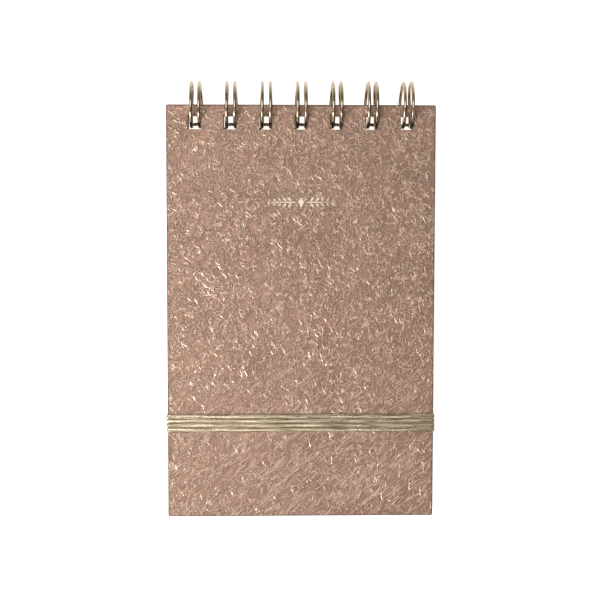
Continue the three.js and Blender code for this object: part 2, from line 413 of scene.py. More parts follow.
def wrapping_paper(settings):
    """Satin metallic paper with embossed silk fibres, combed to a slant on its lower part."""
    fibres, colours = settings.fibres, settings.colours
    finish = {"Metallic": 0.55, "Specular_IOR_Level": 0.6, "Coat_Weight": 0.12, "Coat_Roughness": 0.45}
    made, shader, place = material("wrapping_paper", **finish)
    wander = noise(place, 25 * MM, Detail=1.0)
    level = plus(split(place)[1], times(wander, 40 * MM))
    low_part = ramp(level, fibres.slant_to, fibres.slant_from + 30 * MM, 1.0, 0.0)
    lines = embossed_lines(place, low_part, fibres.slant)
    # Painted shade: the same threads moved a little to one side
    thread_shades = embossed_lines(mapped(place, Location=THREAD_SHADE_SIDE), low_part, fibres.slant)
    grain = noise(place, 0.45 * MM, Detail=2.0)
    height = plus(lines, times(grain, 0.5))

    patches = ramp(noise(place, 14 * MM, Detail=2.0), 0.35, 0.65)
    ground = mix(patches, colours.paper, colours.paper_deep)
    # Painted shade: the paper is darkened beside each embossed thread
    ground = mix(times(thread_shades, 0.5), ground, colours.hollow)
    # Painted highlight: the embossed threads are painted in the lighter fibre colour
    base = mix(times(lines, 0.75), ground, colours.fibre)
    # Painted shade: the paper is darkened along the cover's rounded edges
    base = mix(times(edge_shade_mask(place), 0.85), base, colours.fold)
    dress(shader, base, height, 0.2 * MM, 1.0, minus(0.5, times(lines, 0.12)))
    return made


def fibre_paper(colours):
    """The raised fibres: the same paper with a painted highlight, brighter in most places."""
    made, shader, place = material("raised_fibre", Metallic=0.6, Coat_Weight=0.2, Coat_Roughness=0.3)
    wear_and_highlight = noise(place, 2 * MM, Detail=2.0)
    # Painted highlight: the fibres turn brighter than the paper where this noise is high
    base = mix(ramp(wear_and_highlight, 0.35, 0.5), colours.paper, shaded(colours.fibre, 1.15))
    dress(shader, base, noise(place, 0.15 * MM), 0.02 * MM, 0.6, ramp(wear_and_highlight, 0.3, 0.7, 0.42, 0.3))
    return made


def grey_board(colours):
    """Pressed grey board, seen in the walls of the punched holes."""
    made, shader, place = material("grey_board", Specular_IOR_Level=0.25)
    layers = noise(mapped(place, Scale=(1, 1, 5)), 0.5 * MM, Detail=4.0, Roughness=0.7)
    flecks = noise(place, 0.3 * MM, Detail=1.0)
    pulp = mix(layers, shaded(colours.board, 0.45), colours.board)
    base = mix(ramp(flecks, 0.6, 0.72), pulp, colours.fleck)
    dress(shader, base, layers, 0.08 * MM, 0.8, ramp(layers, 0.2, 0.8, 0.8, 0.95))
    return made


def lining_paper(colours):
    """Laid endpaper: fine ribs across the cover and a mottled tint."""
    made, shader, place = material("lining_paper", Specular_IOR_Level=0.3, Sheen_Weight=0.15)
    ribs = maths("SINE", times(split(place)[1], math.tau / (0.9 * MM)))
    mottle = noise(place, 6 * MM, Detail=5.0, Roughness=0.65)
    tooth = noise(place, 0.2 * MM, Detail=2.0)
    base = mix(ramp(mottle, 0.3, 0.7), shaded(colours.lining, 0.86), colours.lining)
    height = plus(times(ribs, 0.15), tooth)
    dress(shader, base, height, 0.04 * MM, 0.6, ramp(mottle, 0.3, 0.7, 0.7, 0.85))
    return made


def leaf_paper(settings):
    """Writing paper with faint ruled lines on its two faces, and painted shade on the walls of its punched
    holes.
    """
    colours = settings.colours
    made, shader, place = material("leaf_paper", Specular_IOR_Level=0.25)
    x, y, _ = split(place)
    top, foot, side = FRONT_HIGH.y, FRONT_LOW.y, FRONT_HIGH.x
    facing = node(place.id_data, "ShaderNodeNewGeometry").outputs["Normal"]
    flat = ramp(maths("ABSOLUTE", split(facing)[2]), 0.8, 0.95)
    step = maths("FRACT", maths("DIVIDE", y, settings.leaves.line))
    line = ramp(away(step, 0.5), 0.012, 0.022, 1.0, 0.0)
    below_holes = ramp(y, top - 20 * MM, top - 19.8 * MM, 1.0, 0.0)
    above_foot = ramp(y, foot + 8 * MM, foot + 8.2 * MM)
    ruled = times(times(line, flat), times(below_holes, above_foot))
    cloud = noise(place, 0.6 * MM, Detail=4.0, Roughness=0.7)
    paper = mix(cloud, shaded(colours.leaf, 0.95), colours.leaf)
    base = mix(times(ruled, 0.8), paper, colours.ruling)

    # Painted shade on the sheets' edges inside the punched holes
    across = ramp(maths("ABSOLUTE", x), side - 3.5 * MM, side - 3 * MM, 1.0, 0.0)
    under = ramp(y, top - 10 * MM, top - 9.5 * MM)
    over = ramp(y, top - 3.4 * MM, top - 3 * MM, 1.0, 0.0)
    wall = times(times(across, times(under, over)), minus(1.0, flat))
    base = mix(times(wall, 0.85), base, colours.punched)
    dress(shader, base, cloud, 0.03 * MM, 0.5, ramp(cloud, 0.3, 0.7, 0.75, 0.88))
    return made


def binding_wire(colours):
    """Plated steel wire, drawn and slightly rubbed."""
    made, shader, place = material("binding_wire", Metallic=1.0)
    rubbed = noise(place, 3 * MM, Detail=4.0, Roughness=0.6)
    fine = noise(place, 0.2 * MM, Detail=2.0)
    base = mix(ramp(rubbed, 0.35, 0.7), shaded(colours.wire, 0.78), colours.wire)
    dress(shader, base, fine, 0.01 * MM, 0.35, ramp(rubbed, 0.3, 0.7, 0.16, 0.27))
    return made


def elastic_thread(settings):
    """Metallic yarn wrapped round an elastic core, with painted highlight streaks and painted shade between
    them.
    """
    colours = settings.colours
    made, shader, place = material("elastic_thread", Metallic=0.75, Sheen_Weight=0.1)
    named = node(place.id_data, "ShaderNodeAttribute", attribute_name=THREAD_ALONG)
    along = named.outputs["Fac"]
    y = split(place)[1]
    wobble = noise(join(along, y, 0.0), 0.9 * MM, Detail=2.0)
    turns = maths("DIVIDE", plus(along, times(y, 1.3)), settings.elastic.twist)
    wave = maths("SINE", times(plus(turns, times(wobble, 0.9)), math.tau))
    thread = ramp(wave, -0.9, 0.6)
    highlight_streaks = noise(join(times(along, 0.05), y, 0.0), 0.5 * MM, Detail=3.0, Roughness=0.6)
    # Painted light: from painted shade in the grooves to a painted highlight in streaks along each cord
    shade = plus(times(thread, 0.2), ramp(highlight_streaks, 0.38, 0.6, 0.0, 0.8))
    base = mix(shade, colours.elastic_deep, colours.elastic)
    height = plus(times(thread, 0.6), highlight_streaks)
    dress(shader, base, height, 0.05 * MM, 0.7, ramp(highlight_streaks, 0.3, 0.7, 0.3, 0.17))
    return made


def pressed_metal(colours):
    """The clip: plated sheet metal with faint rolling marks."""
    made, shader, place = material("pressed_metal", Metallic=1.0)
    marks = noise(mapped(place, Scale=(0.08, 1, 1)), 0.12 * MM, Detail=3.0)
    stain = noise(place, 2.5 * MM, Detail=3.0)
    base = mix(ramp(stain, 0.35, 0.65), shaded(colours.clip, 0.7), colours.clip)
    dress(shader, base, marks, 0.015 * MM, 0.6, ramp(marks, 0.2, 0.8, 0.24, 0.4))
    return made


def stamped_foil(colours):
    """Pale gold foil pressed into the paper, thin in places."""
    made, shader, place = material("stamped_foil", Metallic=0.9)
    wear_and_highlight = noise(place, 0.7 * MM, Detail=3.0)
    base = mix(ramp(wear_and_highlight, 0.56, 0.7, 0.0, 0.6), colours.foil, colours.paper)
    dress(shader, base, wear_and_highlight, 0.03 * MM, 0.5, ramp(wear_and_highlight, 0.3, 0.7, 0.42, 0.55))
    return made


# ---- Meshes ----


def new_object(name, mesh, made=None):
    obj = bpy.data.objects.new(name, mesh)
    bpy.context.scene.collection.objects.link(obj)
    if made:
        mesh.materials.append(made)
    return obj


def mesh_from(name, work, smooth=False):
    mesh = bpy.data.meshes.new(name)
    work.to_mesh(mesh)
    work.free()
    mesh.shade_smooth() if smooth else mesh.shade_flat()
    return mesh


def settle(obj):
    """Turns what the modifiers make into the object's own plain mesh."""
    evaluated = obj.evaluated_get(bpy.context.evaluated_depsgraph_get())
    result = bpy.data.meshes.new_from_object(evaluated)
    obj.modifiers.clear()
    previous = obj.data
    obj.data = result
    bpy.data.meshes.remove(previous)
    return obj


def grow(obj, tree, **inputs):
    """Runs a Geometry Nodes tree on the object and keeps the mesh it makes."""
    modifier = obj.modifiers.new(tree.name, "NODES")
    modifier.node_group = tree
    sockets = {
        item.name: item.identifier
        for item in tree.interface.items_tree
        if item.item_type == "SOCKET" and item.in_out == "INPUT"
    }
    for name, value in inputs.items():
        modifier[sockets[name.replace("_", " ")]] = value
    return settle(obj)


def rounded_outline(low, high, radius, steps):
    """Points anticlockwise round a rectangle with round corners."""
    centres = (
        (high[0] - radius, high[1] - radius),
        (low[0] + radius, high[1] - radius),
        (low[0] + radius, low[1] + radius),
        (high[0] - radius, low[1] + radius),
    )
    points = []
    for quarter, (x, y) in enumerate(centres):
        for step in range(steps + 1):
            turn = (quarter + step / steps) * math.pi / 2
            points.append((x + radius * math.cos(turn), y + radius * math.sin(turn)))
    return points


def hole_outlines(cover, margin=0.0):
    """The outline of each punched hole, grown by a margin."""
    top = FRONT_HIGH.y - cover.hole_drop
    outlines = []
    for i in range(HOLES):
        x = (i - (HOLES - 1) / 2) * cover.pitch
        low = (x - cover.hole_width / 2 - margin, top - cover.hole_height - margin)
        high = (x + cover.hole_width / 2 + margin, top + margin)
        outlines.append(rounded_outline(low, high, cover.hole_corner, 3))
    return outlines


def add_loop(work, outline, z):
    verts = [work.verts.new((x, y, z)) for x, y in outline]
    return verts, [work.edges.new((a, b)) for a, b in zip(verts, verts[1:] + verts[:1])]


def fill(work, edges):
    bmesh.ops.triangle_fill(work, use_beauty=True, use_dissolve=False, edges=edges, normal=(0, 0, 1))


def keep_order(work):
    """Sorts the faces by their corners, because an extrusion lists them in no fixed order."""
    work.verts.index_update()
    ordered = sorted(work.faces, key=lambda face: sorted(vert.index for vert in face.verts))
    for place, face in enumerate(ordered):
        face.index = place
    work.faces.sort()


def cover_outline(cover, low, high, inset):
    """The cover's outline, set in by some distance."""
    radius = max(cover.corner - inset, 0.12 * MM)
    return rounded_outline(
        (low.x + inset, low.y + inset), (high.x - inset, high.y - inset), radius, 6
    )


def wrap_sheet(cover, low, high, side):
    """The wrapping paper as one surface: outer face, rounded edges and turned-in border."""
    outer = high.z if side == TOP else low.z
    inner = low.z if side == TOP else high.z
    edge = cover.edge
    rest = 0.15 * MM  # a narrow flat border, so the rounded edge ends without a shade
    turns = [math.pi / 2 * step / 5 for step in range(6)]
    sections = [(edge + rest, outer)]
    sections += [(edge * (1 - math.sin(t)), outer - side * edge * (1 - math.cos(t))) for t in turns]
    sections += [(edge * (1 - math.cos(t)), inner + side * edge * (1 - math.sin(t))) for t in turns]
    sections += [(edge + rest, inner)]

    work = bmesh.new()
    loops = [add_loop(work, cover_outline(cover, low, high, inset), z) for inset, z in sections]
    for (verts, _), (below, _) in zip(loops, loops[1:]):
        for i, vert in enumerate(verts):
            j = (i + 1) % len(verts)
            work.faces.new((vert, below[i], below[j], verts[j]))
    outer_edges = list(loops[0][1])
    inner_edges = list(loops[-1][1])
    for outline in hole_outlines(cover):
        outer_edges += add_loop(work, outline, outer)[1]
        inner_edges += add_loop(work, outline, inner)[1]
    inner_edges += add_loop(work, cover_outline(cover, low, high, cover.turn_in), inner)[1]
    fill(work, outer_edges)
    fill(work, inner_edges)
    bmesh.ops.recalc_face_normals(work, faces=work.faces)
    outward = next(f for f in work.faces if abs(f.calc_center_median().z - outer) < 0.01 * MM)
    if outward.normal.z * side < 0:
        bmesh.ops.reverse_faces(work, faces=work.faces)
    return mesh_from("wrap", work, smooth=True)


def fibre_ground(settings, low, high, side):
    """Where fibres may lie: the outer face without its edges, its holes and the foil ornament."""
    cover, ornament = settings.cover, settings.ornament
    outer = high.z if side == TOP else low.z
    work = bmesh.new()
    _, edges = add_loop(work, cover_outline(cover, low, high, cover.edge + 0.1 * MM), outer)
    for outline in hole_outlines(cover, 0.25 * MM):
        edges += add_loop(work, outline, outer)[1]
    if side == TOP:
        middle = high.y - ornament.drop
        reach = Vector((ornament.width, ornament.height)) / 2 + Vector((0.5, 0.4)) * MM
        outline = rounded_outline((-reach.x, middle - reach.y), (reach.x, middle + reach.y), 1 * MM, 3)
        edges += add_loop(work, outline, outer)[1]
    fill(work, edges)
    return mesh_from("fibre_ground", work)


# ---- Geometry Nodes trees ----


def new_tree(name, sizes, counts):
    """A Geometry Nodes tree with a geometry input and output, the named inputs and a finish."""
    tree = bpy.data.node_groups.new(name, "GeometryNodeTree")
    add = tree.interface.new_socket
    for way in ("INPUT", "OUTPUT"):
        add("Geometry", in_out=way, socket_type="NodeSocketGeometry")
    inlets = [(size, "Float") for size in sizes] + [(count, "Int") for count in counts]
    for label, kind in (*inlets, ("Finish", "Material")):
        add(label, in_out="INPUT", socket_type=f"NodeSocket{kind}")
    return tree, tree.nodes.new("NodeGroupInput").outputs


def step(tree, kind, **given):
    """Adds a geometry node and gives its first output."""
    return node(tree, f"GeometryNode{kind}", **given).outputs[0]


def end_tree(tree, geometry, finish, smooth):
    """Realize Instances, shading, Set Material and the output."""
    real = node(tree, "GeometryNodeRealizeInstances", Geometry=geometry).outputs[0]
    real = step(tree, "SetShadeSmooth", Geometry=real, Shade_Smooth=smooth)
    done = node(tree, "GeometryNodeSetMaterial", Geometry=real, Material=finish)
    feed(tree.nodes.new("NodeGroupOutput").inputs[0], done.outputs[0])
    return tree


def chance(low, high, seed, **key):
    """A random number between two others."""
    given = {"Min": low, "Max": high, "Seed": seed, **key}
    return outlet(node(seed.id_data, "FunctionNodeRandomValue", data_type="FLOAT", **given))


def either(factor, first, second):
    """The first number where the factor is 0, and the second where it is 1."""
    given = {"Factor": factor, "A": first, "B": second}
    return outlet(node(factor.id_data, "ShaderNodeMix", data_type="FLOAT", **given))


def noted(tree, geometry, name, value):
    """Notes a value on a geometry's points, and gives the geometry and what was noted."""
    made = node(tree, "GeometryNodeCaptureAttribute", Geometry=geometry)
    made.capture_items.new("FLOAT", name)
    feed(made.inputs[1], value)
    return made.outputs[0], made.outputs[1]


def fibre_tree():
    """Scatters crinkled, tapering fibres over a surface and drops those that leave it."""
    sizes = ("Density", "Shortest", "Longest", "Width", "Height", "Curl", "Crinkle")
    sizes += ("Slant", "Slant from", "Slant to")
    tree, given = new_tree("raised_fibres", sizes, ("Segments", "Seed"))
    ground, seed = given["Geometry"], given["Seed"]
    density = given["Density"]
    scatter = step(tree, "DistributePointsOnFaces", Mesh=ground, Density=density, Seed=seed)
    seeds = [plus(seed, float(i)) for i in range(1, 6)]
    position = step(tree, "InputPosition")
    combed_here = ramp(split(position)[1], given["Slant to"], given["Slant from"], 0.6, 0.04)
    combed = maths("LESS_THAN", chance(0.0, 1.0, seeds[0]), combed_here)
    kept, was_combed = noted(tree, scatter, "Combed", combed)
    combed_turn = plus(given["Slant"], chance(-0.2, 0.2, seeds[2]))
    turn = either(combed, chance(0.0, math.pi, seeds[1]), combed_turn)
    longest = either(combed, times(given["Longest"], 0.4), given["Longest"])
    size = chance(given["Shortest"], longest, seeds[3])
    strand = step(tree, "CurvePrimitiveLine", Start=(-0.5, 0, 0), End=(0.5, 0, 0))
    strand = step(tree, "ResampleCurve", Curve=strand, Count=plus(given["Segments"], 1.0))
    ways = {"Rotation": join(z=turn), "Scale": join(size, size, size)}
    placed = step(tree, "InstanceOnPoints", Points=kept, Instance=strand, **ways)
    strands = step(tree, "RealizeInstances", Geometry=placed)

    index = step(tree, "InputIndex")
    whole = {"domain": "CURVE", "data_type": "FLOAT"}
    which = outlet(node(tree, "GeometryNodeFieldOnDomain", Value=index, **whole))
    straight = ramp(was_combed, 0.0, 1.0, 1.0, 0.14)
    bends = []
    for inlet, wave in (("Curl", 5.5), ("Crinkle", 1.3)):
        swirl = {"Vector": position, "W": times(which, 0.713), "Scale": 1 / (wave * MM)}
        swirled = node(tree, "ShaderNodeTexNoise", noise_dimensions="4D", **swirl)
        parts = split(swirled.outputs["Color"])
        reach = times(given[inlet], straight)
        bends.append([times(minus(parts[i], 0.5), times(reach, 2.0)) for i in (0, 1)])
    shift = join(*(plus(curl, crinkle) for curl, crinkle in zip(*bends)))
    bent = step(tree, "SetPosition", Geometry=strands, Offset=shift)

    above = maths("ADD", position, (0, 0, 1 * MM), kind="ShaderNodeVectorMath")
    ray = {"Source_Position": above, "Ray_Direction": (0, 0, -1), "Ray_Length": 2 * MM}
    hit = node(tree, "GeometryNodeRaycast", Target_Geometry=ground, **ray).outputs["Is Hit"]
    tested, inside = noted(tree, bent, "Inside", hit)
    outside = maths("LESS_THAN", inside, 0.999)
    bent = step(tree, "DeleteGeometry", domain="CURVE", Geometry=tested, Selection=outside)

    factor = node(tree, "GeometryNodeSplineParameter").outputs["Factor"]
    taper = maths("POWER", maths("SINE", times(factor, math.pi)), 0.6)
    taper = maths("MAXIMUM", taper, 0.12)
    stout = chance(0.55, 1.0, seeds[4], ID=which)
    ring = step(tree, "CurvePrimitiveCircle", Resolution=4, Radius=1.0)
    flattened = join(times(given["Width"], 0.5), given["Height"], 1.0)
    section = step(tree, "Transform", Geometry=ring, Scale=flattened)
    sweep = {"Profile_Curve": section, "Scale": times(taper, stout), "Fill_Caps": True}
    swept = step(tree, "CurveToMesh", Curve=bent, **sweep)
    return end_tree(tree, swept, given["Finish"], False)


def leaf_tree():
    """Stacks sheets, each lying a little off the one below."""
    tree, given = new_tree("leaf_stack", ("Pitch", "Shift", "Turn"), ("Sheets", "Seed"))
    rise = join(z=given["Pitch"])
    stack = step(tree, "MeshLine", Count=given["Sheets"], Offset=rise)
    seeds = [plus(given["Seed"], float(i)) for i in range(3)]
    less = times(given["Shift"], -1.0)
    shift = join(*(chance(less, given["Shift"], seed) for seed in seeds[:2]))
    stack = step(tree, "SetPosition", Geometry=stack, Offset=shift)
    turn = chance(times(given["Turn"], -1.0), given["Turn"], seeds[2])
    sheet = {"Instance": given["Geometry"], "Rotation": join(z=turn)}
    placed = step(tree, "InstanceOnPoints", Points=stack, **sheet)
    return end_tree(tree, placed, given["Finish"], False)


def wire_tree():
    """Sweeps a round section along a chain of edges."""
    tree, given = new_tree("bent_wire", ("Wire",), ("Sides",))
    path = step(tree, "MeshToCurve", Mesh=given["Geometry"])
    radius = times(given["Wire"], 0.5)
    section = step(tree, "CurvePrimitiveCircle", Resolution=given["Sides"], Radius=radius)
    swept = step(tree, "CurveToMesh", Curve=path, Profile_Curve=section, Fill_Caps=True)
    return end_tree(tree, swept, given["Finish"], True)


def elastic_tree():
    """Sweeps cords side by side along one closed loop, and notes the length along each."""
    sizes = ("First", "Pitch", "Width", "Thickness", "Squareness", "Drift")
    tree, given = new_tree("elastic_cords", sizes, ("Cords",))
    loop = step(tree, "MeshToCurve", Mesh=given["Geometry"])
    spacing = {"Start_Location": join(y=given["First"]), "Offset": join(y=given["Pitch"])}
    row = step(tree, "MeshLine", Count=given["Cords"], **spacing)
    loops = step(tree, "InstanceOnPoints", Points=row, Instance=loop)
    loops = step(tree, "RealizeInstances", Geometry=loops)

    position = step(tree, "InputPosition")
    drift = minus(noise(position, 9 * MM, Detail=1.0), 0.5)
    drift = times(drift, times(given["Drift"], 2.0))
    loops = step(tree, "SetPosition", Geometry=loops, Offset=join(y=drift))
    along = node(tree, "GeometryNodeSplineParameter").outputs["Length"]
    note = {"Name": THREAD_ALONG, "Value": along, "data_type": "FLOAT", "domain": "POINT"}
    loops = step(tree, "StoreNamedAttribute", Geometry=loops, **note)

    ring = step(tree, "CurvePrimitiveCircle", Resolution=24, Radius=1.0)
    across, up, _ = split(position)
    power = maths("DIVIDE", 2.0, given["Squareness"])
    halves = []
    for part, side in ((across, "Width"), (up, "Thickness")):
        bowed = maths("POWER", maths("ABSOLUTE", part), power)
        halves.append(times(bowed, times(maths("SIGN", part), times(given[side], 0.5))))
    section = step(tree, "SetPosition", Geometry=ring, Position=join(*halves))
    swept = step(tree, "CurveToMesh", Curve=loops, Profile_Curve=section)
    return end_tree(tree, swept, given["Finish"], True)


# ---- The notebook's pieces ----


def settings_of(context):
    return context.scene.notebook


class NotebookSettings(bpy.types.PropertyGroup):
    cover: bpy.props.PointerProperty(type=CoverSettings, name="Covers")
    fibres: bpy.props.PointerProperty(type=FibreSettings, name="Fibres")
    leaves: bpy.props.PointerProperty(type=LeafSettings, name="Leaves")
    wire: bpy.props.PointerProperty(type=WireSettings, name="Wire")
    elastic: bpy.props.PointerProperty(type=ElasticSettings, name="Elastic")
    clip: bpy.props.PointerProperty(type=ClipSettings, name="Clip")
    ornament: bpy.props.PointerProperty(type=OrnamentSettings, name="Ornament")
    colours: bpy.props.PointerProperty(type=ColourSettings, name="Colours")
    stage: bpy.props.PointerProperty(type=StageSettings, name="Stage")


def chain(name, points, closed=False):
    """A mesh that is only a chain of edges, for a tree to sweep along."""
    work = bmesh.new()
    verts = [work.verts.new(point) for point in points]
    ends = verts[1:] + verts[:1] if closed else verts[1:]
    for a, b in zip(verts, ends):
        work.edges.new((a, b))
    return new_object(name, mesh_from(name, work))


def claim(obj, body, slot_name, *nodes):
    """Puts a finished piece on its body, in place of the model's plain nodes."""
    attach(obj, body)
    if nodes:
        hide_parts(*nodes)


COVERS = (
    ("front", FRONT_LOW, FRONT_HIGH, TOP, "front_cover"),
    ("back", BACK_LOW, BACK_HIGH, BOTTOM, "book_back"),
)


class NOTEBOOK_OT_wraps(bpy.types.Operator):
    """Fold the textured paper round both covers"""

    bl_idname = "notebook.wraps"
    bl_label = "Cover papers"

    def execute(self, context):
        settings = settings_of(context)
        paper = wrapping_paper(settings)
        for name, low, high, side, body in COVERS:
            obj = new_object(f"{name}_cover_paper", wrap_sheet(settings.cover, low, high, side), paper)
            wall = obj.modifiers.new("paper", "SOLIDIFY")
            wall.thickness = settings.cover.sheet
            wall.offset = -1
            settle(obj)
            obj.data.set_sharp_from_angle(angle=math.radians(40))
            claim(obj, body, "cover_paper", f"{name}_wrap")
        return {"FINISHED"}


class NOTEBOOK_OT_fibres(bpy.types.Operator):
    """Lay the raised silk fibres over both covers"""

    bl_idname = "notebook.fibres"
    bl_label = "Raised fibres"

    def execute(self, context):
        settings = settings_of(context)
        fibres = settings.fibres
        tree = fibre_tree()
        finish = fibre_paper(settings.colours)
        for i, (name, low, high, side, body) in enumerate(COVERS):
            obj = new_object(f"{name}_cover_fibres", fibre_ground(settings, low, high, side))
            given = {name.capitalize(): getattr(fibres, name) for name in FibreSettings.__annotations__}
            given["Density"] = fibres.density / CENTIMETRE**2
            given["Seed"] = fibres.seed + 50 * i
            grow(obj, tree, Finish=finish, **given)
            claim(obj, body, "cover_paper")
        return {"FINISHED"}


class NOTEBOOK_OT_boards(bpy.types.Operator):
    """Give the boards and the pasted linings their own finishes"""

    bl_idname = "notebook.boards"
    bl_label = "Boards and linings"

    def execute(self, context):
        colours = settings_of(context).colours
        for part, made in (("board", grey_board(colours)), ("lining", lining_paper(colours))):
            for name, *_ in COVERS:
                mesh = frame["nodes"][f"{name}_{part}"].data
                mesh.materials.clear()
                mesh.materials.append(made)
        return {"FINISHED"}


def one_sheet(settings, low, high):
    """A punched sheet of writing paper, standing on the given bundle's lower face."""
    leaves = settings.leaves
    work = bmesh.new()
    corners = ((low.x, low.y), (high.x, high.y))
    _, edges = add_loop(work, rounded_outline(*corners, leaves.corner, 4), low.z)
    for outline in hole_outlines(settings.cover):
        edges += add_loop(work, outline, low.z)[1]
    fill(work, edges)
    grown = bmesh.ops.extrude_face_region(work, geom=list(work.faces))["geom"]
    raised = [item for item in grown if isinstance(item, bmesh.types.BMVert)]
    bmesh.ops.translate(work, verts=raised, vec=(0, 0, leaves.thickness))
    bmesh.ops.recalc_face_normals(work, faces=work.faces)
    keep_order(work)
    return mesh_from("sheet", work)


class NOTEBOOK_OT_leaves(bpy.types.Operator):
    """Stack the sheets of writing paper, body by body"""

    bl_idname = "notebook.leaves"
    bl_label = "Leaves"

    def execute(self, context):
        settings = settings_of(context)
        leaves = settings.leaves
        tree = leaf_tree()
        finish = leaf_paper(settings)
        for i, (body, nodes) in enumerate(BUNDLES.items()):
            low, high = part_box(nodes[0])[0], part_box(nodes[-1])[1]
            sheets = leaves.sheets * len(nodes)
            obj = new_object(f"{body}_sheets", one_sheet(settings, low, high))
            grow(
                obj,
                tree,
                Sheets=sheets,
                Pitch=(high.z - low.z - leaves.thickness) / (sheets - 1),
                Shift=leaves.shift,
                Turn=leaves.turn,
                Seed=leaves.seed + 10 * i,
                Finish=finish,
            )
            claim(obj, body, "leaf_paper", *nodes)
        return {"FINISHED"}


# Straight pieces along one strand, one bend to a root bar and one tip
RING_STEPS, BEND_STEPS, TIP_STEPS = 72, 8, 20


def wire_points(settings):
    """The wire's centre line from cut end to cut end, loop after loop."""
    wire = settings.wire
    pitch = settings.cover.pitch
    ring = wire.ring
    back_face = BACK_LOW.z - HINGE.z
    root_depth = wire.seam + wire.wire / 2 - back_face
    root = math.tau - math.atan2(root_depth, wire.root_reach)
    root_radius = math.hypot(root_depth, wire.root_reach)
    spreading = 1.2 * math.pi  # from here the two strands of a loop draw apart
    flattening = 1.6 * math.pi  # from here to the root the loops leave the round
    bend = wire.root_bend / root_radius
    start = math.asin(wire.tip_height / ring) + wire.front_half / ring
    end = root - bend

    def eased(turn, low, high, first, last):
        t = min(max((turn - low) / (high - low), 0), 1)
        return first + (last - first) * t * t * (3 - 2 * t)

    def half_gap(turn):
        return eased(turn, spreading, flattening, wire.front_half, wire.back_half)

    turns = [start + (end - start) * i / RING_STEPS for i in range(RING_STEPS + 1)]

    def strand(x, side):
        return [(turn, x + side * half_gap(turn)) for turn in turns]

    def root_bend(x, side):
        places = []
        for i in range(1, BEND_STEPS + 1):
            turn = i / BEND_STEPS * math.pi / 2
            out = wire.back_half + wire.root_bend * (1 - math.cos(turn))
            places.append((root - bend * (1 - math.sin(turn)), x + side * out))
        return places

    def tip(x):
        places = []
        for i in range(1, TIP_STEPS):
            turn = i / TIP_STEPS * math.pi
            drop = wire.front_half / ring * math.sin(turn)
            places.append((start - drop, x - wire.front_half * math.cos(turn)))
        return places

    flat = []
    for loop in range(HOLES):
        x = (loop - (HOLES - 1) / 2) * pitch + wire.shift
        if loop > 0:
            flat += root_bend(x, -1)[::-1]
        flat += strand(x, -1)[::-1] + tip(x) + strand(x, 1)
        if loop < HOLES - 1:
            flat += root_bend(x, 1)
    points = []
    for turn, x in flat:
        radius = eased(turn, flattening, root, ring, root_radius)
        points.append(
            (x, HINGE.y - radius * math.cos(turn), HINGE.z + radius * math.sin(turn))
        )
    return points


class NOTEBOOK_OT_wire(bpy.types.Operator):
    """Bend the one length of wire into its seven double loops"""

    bl_idname = "notebook.wire"
    bl_label = "Twin-loop wire"

    def execute(self, context):
        settings = settings_of(context)
        obj = chain("binding_wire", wire_points(settings))
        grow(
            obj,
            wire_tree(),
            Wire=settings.wire.wire,
            Sides=settings.wire.sides,
            Finish=binding_wire(settings.colours),
        )
        obj.data.set_sharp_from_angle(angle=math.radians(50))
        claim(obj, "book_back", "binding_wire", "twin_loop_wire")
        return {"FINISHED"}


def stepped(outline, step):
    """The closed outline with its long sides cut into even steps."""
    points = []
    for a, b in zip(outline, outline[1:] + outline[:1]):
        pieces = max(1, round(math.dist(a, b) / step))
        points += [tuple(p + (q - p) * i / pieces for p, q in zip(a, b)) for i in range(pieces)]
    return points


class NOTEBOOK_OT_elastic(bpy.types.Operator):
    """Lay the four elastic cords round the notebook"""

    bl_idname = "notebook.elastic"
    bl_label = "Elastic cords"

    def execute(self, context):
        settings = settings_of(context)
        elastic = settings.elastic
        low, high = CORD_BOXES[0]
        half = elastic.thickness / 2
        outline = rounded_outline(
            (low.x + half, low.z + half), (high.x - half, high.z - half), elastic.turn, 8
        )
        floor = low.z + half  # the loop starts in the middle of its run behind the back cover
        start = next(i for i, (x, z) in enumerate(outline) if x < 0 and abs(z - floor) < SAME)
        outline = [(0.0, floor)] + outline[start + 1 :] + outline[: start + 1]
        path = [(x, 0, z) for x, z in stepped(outline, elastic.step)]
        obj = chain("elastic_cords", path, closed=True)
        middles = sorted((a.y + b.y) / 2 for a, b in CORD_BOXES)
        grow(
            obj,
            elastic_tree(),
            Cords=len(middles),
            First=middles[0],
            Pitch=middles[1] - middles[0],
            Width=elastic.width,
            Thickness=elastic.thickness,
            Squareness=elastic.squareness,
            Drift=elastic.drift,
            Finish=elastic_thread(settings),
        )
        claim(obj, "elastic_band", "elastic", *[f"elastic_cord_{i}" for i in range(1, 5)])
        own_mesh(obj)
        return {"FINISHED"}


